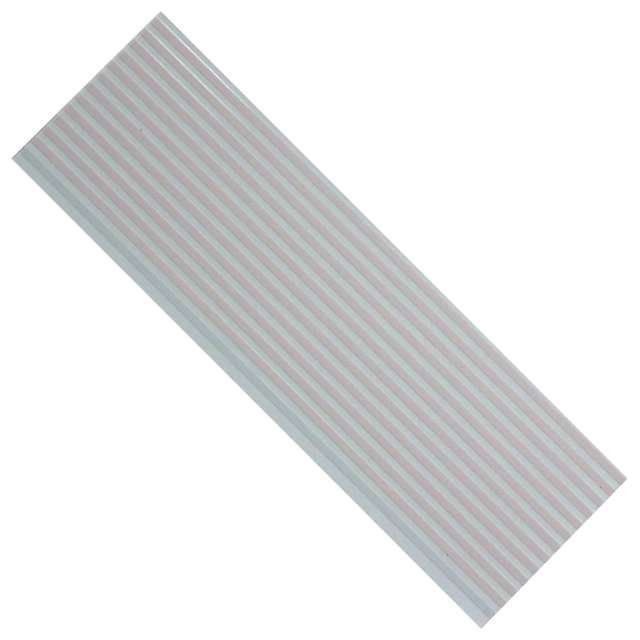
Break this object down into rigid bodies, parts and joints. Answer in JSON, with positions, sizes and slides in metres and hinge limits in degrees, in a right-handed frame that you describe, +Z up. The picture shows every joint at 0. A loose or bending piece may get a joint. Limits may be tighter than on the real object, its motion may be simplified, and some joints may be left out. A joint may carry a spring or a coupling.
{
  "type": "flat flex cable",
  "caption": "Short length of laminated flat flexible cable: flat copper conductors side by side between two ribbed translucent films, with a tinned index conductor along one edge.",
  "frame": {"origin": "middle of the cable's box, on the surface that the cable lies on", "axes": "+X along the cable, from its first cut end to its second; +Y across it, from the index edge to the far edge; +Z up, through the thickness"},
  "size_m": [0.0546, 0.0172, 0.0003],
  "materials": {
    "film": "translucent grey-green polyester film, smooth and softly glossy",
    "bare_copper": "bare rolled copper, bright and fine-grained along its length",
    "tinned_copper": "tinned rolled copper, soft grey"
  },
  "bodies": {
    "root": {"lower_film": "film", "upper_film": "film", "conductor_01": "tinned_copper", "conductor_02": "bare_copper", "conductor_03": "bare_copper", "conductor_04": "bare_copper", "conductor_05": "bare_copper", "conductor_06": "bare_copper", "conductor_07": "bare_copper", "conductor_08": "bare_copper", "conductor_09": "bare_copper", "conductor_10": "bare_copper", "conductor_11": "bare_copper", "conductor_12": "bare_copper", "conductor_13": "bare_copper"}
  },
  "joints": []
}
